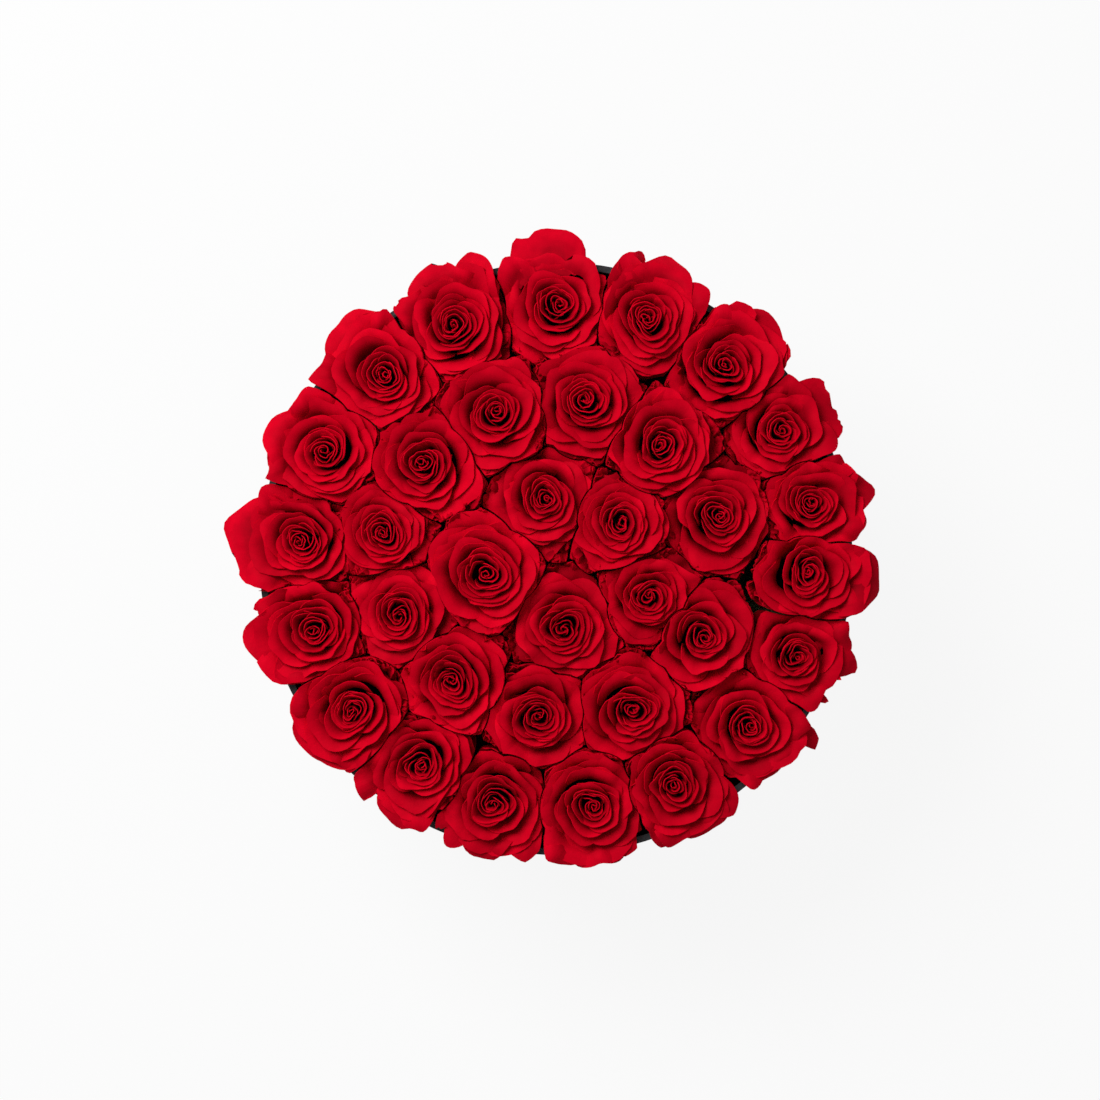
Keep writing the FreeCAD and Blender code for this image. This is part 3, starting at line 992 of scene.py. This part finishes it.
        size = self.filler_wave if crumpled else self.at(self.wave, lip)
        waves = [(count, 1.0) for count in self.plain_waves]
        waves += [(count, share * kind.crumple) for count, share in self.crumple_waves]
        moved = [out, ripple]
        for count, share in waves:
            for k in (0, 1):
                sway = np.sin(count * u + rng.uniform(0, 6.3) + rng.uniform(-2, 2) * v)
                moved[k] = moved[k] + size * share * v**3 * sway * rng.uniform(*self.wave_share)
        out, ripple = moved
        return Petal(kind, lip, np.maximum(out, self.core), spin + self.hand * turn, up, ripple)

    def whorls(self) -> list[Petal]:
        """Shapes the petals from the heart outwards, each a golden angle on from the last.

        Returns:
            The petals of the open bloom and of the collar round it.
        """
        rng = self.rng
        start = rng.uniform(0, 2 * math.pi)
        spread = rng.uniform(*self.spread)
        opened = rng.uniform(0.0, 1.0)
        petals = []
        for number in range(self.petals):
            lip = np.interp(number, self.counts, self.lips) * spread
            lip += rng.uniform(-1, 1) * self.at(self.lip_stray, lip)
            wider = (1.7 * opened - 0.4) * smooth_step(*self.ring_starts, lip)
            lip = float(lip + wider * (1 - smooth_step(*self.ring_ends, lip)))
            sunk = self.at(self.lip_drop, lip) * (0.35 + 0.65 * opened) if lip < self.heart_radius else 0.0
            spin = start + self.hand * number * GOLDEN_ANGLE + rng.uniform(-self.spin_stray, self.spin_stray)
            kind = Kind.COLLAR if lip > self.collar_from else Kind.WHORL
            petals.append(self.petal(rng, kind, max(lip, self.least_lip), spin, drop=sunk))
        return petals

    def fillers(self) -> list[Petal]:
        """Shapes the small crumpled petals in the corners between neighbours and along the edges to them.

        Returns:
            The petals, which have random numbers of their own.
        """
        rng = np.random.default_rng(self.seed + self.filler_seed)
        room = self.room
        corners = np.repeat(room.corners, self.corner_fillers)
        corners = corners + rng.uniform(-self.corner_stray, self.corner_stray, len(corners))
        edges = rng.uniform(-math.pi, math.pi, self.edge_fillers)
        edges = edges[room.at(room.hard, edges) < room.reach]
        petals = []
        for spins, drops in ((corners, self.corner_drop), (edges, self.edge_drop)):
            for spin in spins:
                lip = float(room.at(room.hard, spin)) / self.scale * rng.uniform(*self.filler_reach)
                width = rng.uniform(*self.filler_width)
                petals.append(self.petal(rng, Kind.FILLER, lip, spin, width, rng.uniform(*drops)))
        return petals

    def tucks(self) -> list[Guard]:
        """Places the small guard petals that close the notches between a rim rose and its neighbours.

        Returns:
            One guard petal for each notch.
        """
        room = self.room
        guards = []
        for notch in room.notches:
            x, y, _ = self.stand.spot(room.at(room.hard, notch), notch)
            bearing = math.degrees(math.atan2(x, y))
            side = (self.stand.seat.bearing - bearing + 180) % 360 - 180
            bearing += math.copysign(self.tuck_turn, side)
            guards.append(Guard(bearing, self.rng.uniform(*self.tuck_reach), self.tuck_width))
        return guards

    def guards(self) -> list[Petal]:
        """Shapes the guard petals of a rim rose.

        Returns:
            The petals, with the small tucked ones last.
        """
        stand, scale = self.stand, self.scale
        shift = stand.local(stand.crown)[:2]
        petals = []
        for guard in (*stand.seat.guards, *self.tucks()):
            bearing = math.radians(guard.bearing)
            flat = guard.reach * np.array((math.sin(bearing), math.cos(bearing)))
            tip = np.array((*flat, stand.crown[2] - self.guard_dip))
            way = (stand.local(tip)[:2] - shift) / scale
            lip = math.hypot(*way)
            level = self.rng.uniform(*self.guard_level) - stand.origin[2] + self.guard_rise * lip
            drop = self.height - (level / scale - self.base) + stand.seat.grade.rise / scale
            spin = math.atan2(way[1], way[0])
            petals.append(self.petal(self.rng, Kind.GUARD, lip, spin, guard.half_width / scale, drop))
        return petals

    def build(self) -> Object:
        """Builds the petals of the rose as one mesh of closed petals.

        Returns:
            The bloom, with its petal UV map, which places its painted shade and highlight, and its tone
            attribute, which holds random dye tone and painted shade.
        """
        rng, stand, scale, room = self.rng, self.stand, self.scale, self.room
        petals = self.whorls() + self.fillers() + self.guards()
        points, tones, shade_rates = [], [], []
        shift = stand.local(stand.crown)[:2]
        aside = rng.uniform(0, 2 * math.pi)
        ovals = [(size * rng.uniform(0.4, 1.4), rng.uniform(0, 2 * math.pi)) for size in self.oval]
        for petal in petals:
            lip = petal.lip
            out, up = petal.out * scale, petal.up * scale
            free = room.free(petal.direction, self.guard_spare if petal.kind is Kind.GUARD else 0.0)
            free = free * (stand.dome_radius + self.base + up) / (stand.dome_radius + stand.lip_level)
            inner = 1 - smooth_step(*self.oval_fade, lip)
            for count, (size, phase) in enumerate(ovals, start=2):
                out = out * (1 + size * inner * np.cos(count * petal.direction + phase))
            if petal.kind is Kind.WHORL:
                ratio = room.at(room.outline, petal.direction) / (self.open_radius * scale)
                out = out * (1 + (np.minimum(ratio, self.fit_most) - 1) * smooth_step(*self.fit_fade, lip))
            near_edge = smooth_step(*self.edge_fade, out / free)
            out, up, direction, near_edge = self.trim(out - free, out, up, petal.direction, near_edge)
            share = smooth_step(self.lean_from, self.lean_share * self.height * scale, up)
            up = up + petal.ripple * scale + (stand.level + room.at(room.lift, direction) * near_edge) * share
            way = rng.uniform(0, 2 * math.pi)
            stray = [
                self.at(self.eccentric, lip) * turned(aside) + self.at(self.astray, lip) * turned(way)
                for turned in (math.cos, math.sin)
            ]
            grid = np.stack(
                (
                    out * np.cos(direction) + shift[0] * share + stray[0] * (1 - near_edge),
                    out * np.sin(direction) + shift[1] * share + stray[1] * (1 - near_edge),
                    up + self.base * scale + stand.seat.grade.rise,
                ),
                axis=-1,
            )
            placed = self.wall.inside(stand.placed(grid.reshape(-1, 3)))
            placed = self.wall.over(placed) if petal.kind is Kind.GUARD else placed
            points.append(placed.reshape(grid.shape))
            # each petal's tone: random dye tone, lower on collar and filler petals as painted shade
            tones.append(np.full(out.size, rng.uniform(*petal.kind.tones)))
            # how fast this petal darkens into painted shade away from its lip
            depth = self.filler_shade if petal.kind is Kind.FILLER else self.at(self.shade, lip)
            shade_rates.append(np.full(out.size, depth))
        return self.mesh(stand.name, points, np.concatenate(tones), np.concatenate(shade_rates))

    def trim(self, beyond: Array, *grids: Array) -> list[Array]:
        """Ends a petal where it meets its limit: each line from foot to lip is cut there and spread again.

        Args:
            beyond: how far each of the petal's points is past the limit.
            grids: the petal's measures, one value per point.

        Returns:
            The measures of the shorter petal.
        """
        rows = np.arange(len(beyond), dtype=float)
        results = [grid.copy() for grid in grids]
        for column in np.flatnonzero((beyond > 0).any(axis=0)):
            first = max(int(np.argmax(beyond[:, column] > 0)), 1)
            inside, outside = beyond[first - 1 : first + 1, column]
            kept = rows * (first - outside / (outside - inside)) / rows[-1]
            for grid, result in zip(grids, results):
                result[:, column] = np.interp(kept, rows, grid[:, column])
        return results

    def mesh(self, name: str, points: list[Array], tones: Array, shade_rates: Array) -> Object:
        """Makes the mesh of a bloom from its petals' grids and gives the petals their thickness.

        Args:
            name: the rose's name.
            points: one grid of points per petal.
            tones: the tone of each point, random dye tone with painted shade on collar and filler petals.
            shade_rates: how fast the petal of each point darkens into painted shade away from its lip.

        Returns:
            The bloom.
        """
        faces, spots, first = [], [], 0
        for grid in points:
            rows, columns = grid.shape[:2]
            row = first + np.arange(rows - 1)[:, None] * columns + np.arange(columns - 1)[None, :]
            faces.append(np.stack((row, row + 1, row + 1 + columns, row + columns), axis=-1).reshape(-1, 4))
            u, v = np.meshgrid(np.linspace(0, 1, columns), self.rows(rows))
            spots.append(np.stack((u, v), axis=-1).reshape(-1, 2))
            first += rows * columns
        places = np.concatenate([grid.reshape(-1, 3) for grid in points])
        obj = new_object(f"{name}_bloom", places, np.concatenate(faces))

        mesh = obj.data
        spread = np.concatenate(spots)
        # painted shade: the map's second coordinate falls from the lip faster where the shade rate is higher
        spread[:, 1] = np.maximum(1 - (1 - spread[:, 1]) * shade_rates, 0.0)
        corners = np.empty(len(mesh.loops), dtype=np.int32)
        mesh.loops.foreach_get("vertex_index", corners)
        layer = mesh.uv_layers.new(name="petal")
        layer.data.foreach_set("uv", spread[corners].ravel())
        tone = mesh.attributes.new("tone", "FLOAT", "POINT")
        tone.data.foreach_set("value", tones)
        apply_modifier(obj, "SOLIDIFY", thickness=self.thickness * MM, offset=0.0)
        bpy.ops.object.shade_smooth_by_angle(angle=math.radians(self.smooth_angle))
        return obj


@dataclass
class Foot:
    """The calyx and stem under a bloom, modelled once and copied."""

    stem_radius: float = 2.45
    depth: float = 42.0
    point: float = 4.0
    tip_radius: float = 1.0
    neck: float = 3.0
    hip_radius: float = 6.0
    top_radius: float = 5.2
    calyx: float = 7.0
    sides: int = 12
    sepals: int = 5
    sepal_length: float = 11.0
    sepal_width: float = 6.0
    sepal_droop: float = 20.0
    sepal_thickness: float = 0.8
    waist: float = 20.0
    smooth_angle: float = 50.0

    def sepal(self, turn: float, rise: float, scale: float) -> Object:
        """Models one sepal: a pointed leaf, cupped along its midrib, that hangs out from the top of the hip.

        Args:
            turn: the sepal's direction round the stem.
            rise: how far the head is raised.
            scale: the head's size.

        Returns:
            The sepal in the rose's own frame.
        """
        deselect()
        bpy.ops.mesh.primitive_grid_add(x_subdivisions=8, y_subdivisions=6, size=2.0)
        leaf = bpy.context.object
        droop = math.radians(self.sepal_droop)
        root = self.top_radius - self.sepal_thickness
        for vertex in leaf.data.vertices:
            along, across = (vertex.co.x + 1) / 2, vertex.co.y
            half = self.sepal_width / 2 * (1 - along**2.4) * (0.75 + 0.9 * along * (1 - along))
            out = root + self.sepal_length * along * math.cos(droop)
            side = across * half
            cup = 0.12 * side**2 - self.sepal_length * math.sin(droop) * along**1.6
            place = Vector((out * scale, side * scale, rise + (self.neck + 0.9 * self.calyx + cup) * scale))
            vertex.co = Matrix.Rotation(turn, 3, "Z") @ place * MM
        apply_modifier(leaf, "SOLIDIFY", thickness=self.sepal_thickness * scale * MM, offset=0.0)
        apply_modifier(leaf, "SUBSURF", levels=1, render_levels=1)
        return leaf

    def build(self, rise: float, scale: float) -> Object:
        """Models the stem and hip from a ring that is pulled upwards, and sets the sepals round it.

        Args:
            rise: how far the head is raised.
            scale: the head's size.

        Returns:
            The foot in the rose's own frame.
        """
        rings = [
            (-self.depth, self.tip_radius),
            (-self.depth + self.point, self.stem_radius),
            (-self.waist, self.stem_radius * 0.96),
            (0.0, self.stem_radius * 0.92),
            (rise + self.neck * scale * 0.7, self.stem_radius * 0.9),
            (rise + self.neck * scale, self.stem_radius * 1.05),
            (rise + (self.neck + 0.28 * self.calyx) * scale, self.hip_radius * 0.82 * scale),
            (rise + (self.neck + 0.62 * self.calyx) * scale, self.hip_radius * scale),
            (rise + (self.neck + self.calyx) * scale, self.top_radius * scale),
        ]
        deselect()
        height, radius = rings[0]
        bpy.ops.mesh.primitive_circle_add(
            vertices=self.sides, radius=radius * MM, fill_type="NGON", location=(0, 0, height * MM)
        )
        obj = bpy.context.object
        bpy.ops.object.transform_apply(location=True, rotation=True, scale=True)
        bpy.ops.object.mode_set(mode="EDIT")
        for next_height, next_radius in rings[1:]:
            bpy.ops.mesh.extrude_region_move(
                TRANSFORM_OT_translate={"value": (0, 0, (next_height - height) * MM)}
            )
            share = next_radius / radius
            bpy.ops.transform.resize(value=(share, share, 1.0), center_override=(0, 0, next_height * MM))
            height, radius = next_height, next_radius
        bpy.ops.mesh.select_all(action="SELECT")
        bpy.ops.mesh.normals_make_consistent(inside=False)
        bpy.ops.object.mode_set(mode="OBJECT")
        apply_modifier(obj, "SUBSURF", levels=1, render_levels=1)
        leaves = [self.sepal(2 * math.pi * k / self.sepals, rise, scale) for k in range(self.sepals)]
        pick(obj)
        for leaf in leaves:
            leaf.select_set(True)
        bpy.ops.object.join()
        bpy.ops.object.shade_smooth_by_angle(angle=math.radians(self.smooth_angle))
        return obj


@dataclass
class Rose:
    """One rose: its bloom, its calyx and its stem, on its own body."""

    stand: Stand
    petal: Material
    green: Material

    def build(self, bloom: Bloom, foot: Object) -> Object:
        """Builds the rose, joins its pieces and rides it on its body.

        Args:
            bloom: its bloom.
            foot: the calyx and stem for its grade.

        Returns:
            The rose.
        """
        head = bloom.build()
        head.data.materials.append(self.petal)
        base = bpy.data.objects.new(f"{self.stand.name}_foot", foot.data.copy())
        bpy.context.collection.objects.link(base)
        turn = Matrix((self.stand.outward, self.stand.sideways, self.stand.axis)).transposed().to_4x4()
        base.data.transform(Matrix.Translation(Vector(self.stand.origin * MM)) @ turn)
        base.data.materials.clear()
        base.data.materials.append(self.green)
        pick(head)
        base.select_set(True)
        bpy.ops.object.join()
        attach(head, self.stand.name)
        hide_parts(self.stand.name)
        return head


@dataclass
class Bouquet:
    """All the roses in the box."""

    foam_top: float
    first_seed: int = 11
    level_spread: float = 1.8
    neighbour_span: float = 75.0
    half_span: float = 22.0
    bulge: float = 1.0
    lobe_depth: Range = (2.0, 3.6)
    lobe_width: Range = (16, 26)

    def stands(self) -> list[Stand]:
        """Places all roses, each head a little higher or lower than the next.

        Returns:
            Their places, in the order of their names.
        """
        rings = (
            ("rim_rose", Ring.RIM, RIM_SEATS),
            ("middle_rose", Ring.MIDDLE, MIDDLE_SEATS),
            ("heart_rose", Ring.HEART, HEART_SEATS),
        )
        rng = np.random.default_rng(self.first_seed)
        return [
            Stand(f"{name}_{number:02d}", ring, seat, self.foam_top, rng.uniform(-1, 1) * self.level_spread)
            for name, ring, seats in rings
            for number, seat in enumerate(seats, start=1)
        ]

    def borders(self, stands: list[Stand]) -> list[Border]:
        """The lines between the roses.

        Args:
            stands: the places of all roses.

        Returns:
            One line for each two that stand near each other.
        """
        rng = np.random.default_rng(self.first_seed)
        lines = []
        for upper in stands:
            for lower in stands:
                apart = float(upper.sight(lower.crown)[0])
                if upper.level <= lower.level or apart > self.neighbour_span:
                    continue
                sizes = [(self.half_span * stand.seat.grade.value) ** 2 for stand in (upper, lower)]
                radius = apart / 2 + (sizes[0] - sizes[1]) / (2 * apart) + self.bulge
                lobe = rng.uniform(*self.lobe_depth)
                width = rng.uniform(*self.lobe_width)
                lines.append(Border(upper, lower, radius, lobe, width, rng.uniform(0, math.pi)))
        return lines

    def build(self) -> list[Object]:
        """Builds every rose.

        Returns:
            The roses.
        """
        petal = PetalFinish().material()
        green = GreenFinish().material()
        stands = self.stands()
        lines = self.borders(stands)
        feet = {grade: Foot().build(grade.rise, grade.value) for grade in Grade}
        roses = []
        for number, stand in enumerate(stands):
            borders = [line for line in lines if stand in (line.upper, line.lower)]
            bloom = Bloom(stand, borders, self.first_seed + number)
            roses.append(Rose(stand, petal, green).build(bloom, feet[stand.seat.grade]))
            log.info("%s: %d faces", roses[-1].name, len(roses[-1].data.polygons))
        for foot in feet.values():
            bpy.data.objects.remove(foot)
        return roses


@dataclass
class BoardBox:
    """The paper-covered box and its foam: CAD nodes that keep their shape and get their finishes."""

    cover: Finish = PaperFinish()
    lining: Finish = PaperFinish(name="black_lining_paper", grain=1.4, roughness=0.65)
    board: Finish = BoardFinish()
    foam: Finish = FoamFinish()

    def dress(self) -> None:
        """Gives each node of the box its material."""
        pieces = (
            (self.cover, ("wall_wrap", "base_cover")),
            (self.lining, ("wall_lining", "base_lining")),
            (self.board, ("wall_board", "base_board")),
            (self.foam, ("floral_foam",)),
        )
        for finish, names in pieces:
            material = finish.material()
            for name in names:
                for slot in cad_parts[name].material_slots:
                    slot.material = material
                log.info("%s: %s", name, material.name)


@dataclass
class Studio:
    """The floor, the soft light and the camera straight above the box."""

    floor_side: float = 8000.0
    camera_place: Place = (-3.04, 4.3, 1750.0)
    lens: float = 103.3
    sky: float = 0.23
    sensor: float = 36.0
    key_power: float = 23.0
    key_size: float = 900.0
    key_place: Place = (-750.0, 750.0, 1450.0)
    key_aim: Place = (0.0, 0.0, 100.0)

    def build(self) -> None:
        """Builds the floor, the sky, the lamp and the camera."""
        deselect()
        bpy.ops.mesh.primitive_plane_add(size=self.floor_side * MM, location=(0, 0, 0))
        floor = bpy.context.object
        floor.name = "studio_floor"
        floor.data.materials.append(FloorFinish().material())

        world = bpy.data.worlds.new("studio")
        world.use_nodes = True
        world.node_tree.nodes.clear()
        tree = world.node_tree
        level = add_node(tree, "MapRange", {0: plain_rays(tree), 1: 0.0, 2: 1.0, 3: self.sky, 4: 1.0})
        sky = add_node(tree, "Background", {0: linear("#ffffff"), 1: level})
        add_node(tree, "OutputWorld", {0: sky})
        bpy.context.scene.world = world

        key = bpy.data.lights.new("softbox", "AREA")
        key.energy = self.key_power
        key.size = self.key_size * MM
        lamp = bpy.data.objects.new("softbox", key)
        lamp.location = [c * MM for c in self.key_place]
        aim = Vector([c * MM for c in self.key_aim]) - lamp.location
        lamp.rotation_euler = aim.to_track_quat("-Z", "Y").to_euler()
        bpy.context.collection.objects.link(lamp)

        camera = bpy.data.cameras.new("top_view")
        camera.lens = self.lens
        camera.sensor_width = self.sensor
        viewer = bpy.data.objects.new("top_view", camera)
        viewer.location = [c * MM for c in self.camera_place]
        bpy.context.collection.objects.link(viewer)
        bpy.context.scene.camera = viewer
        bpy.context.scene.view_settings.view_transform = "Standard"


def main() -> None:
    logging.basicConfig(level=logging.INFO, format="%(name)s %(message)s")
    BoardBox().dress()
    roses = Bouquet(foam_top=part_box("floral_foam")[1][2] / MM).build()
    log.info("roses: %d", len(roses))
    Studio().build()


if __name__ == "__main__":
    main()
